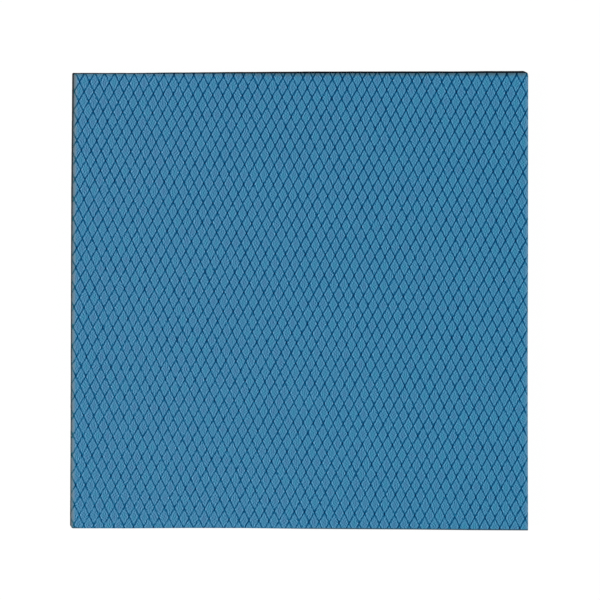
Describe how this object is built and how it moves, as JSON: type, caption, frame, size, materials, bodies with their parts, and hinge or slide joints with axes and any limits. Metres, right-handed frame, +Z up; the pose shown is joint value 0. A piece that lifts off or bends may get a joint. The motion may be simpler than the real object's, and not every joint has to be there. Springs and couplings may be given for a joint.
{
  "type": "thermal pad sheet",
  "caption": "Square sheet of soft dark grey thermal gap filler, covered on its upper face by a blue release liner embossed with a diamond grid.",
  "frame": {"origin": "middle of the flat underside, at the centre of the sheet's box", "axes": "+Z up through the thickness, from the bare underside to the liner; +X to the right edge and +Y to the back edge, as the picture shows them"},
  "size_m": [0.1002, 0.1006, 0.0052],
  "materials": {
    "gap_filler": "matte, soft, knife-cut filled silicone",
    "liner_film": "satin blue film, diamond embossed"
  },
  "bodies": {
    "root": {"gap_pad": "gap_filler", "release_liner": "liner_film"}
  },
  "joints": []
}
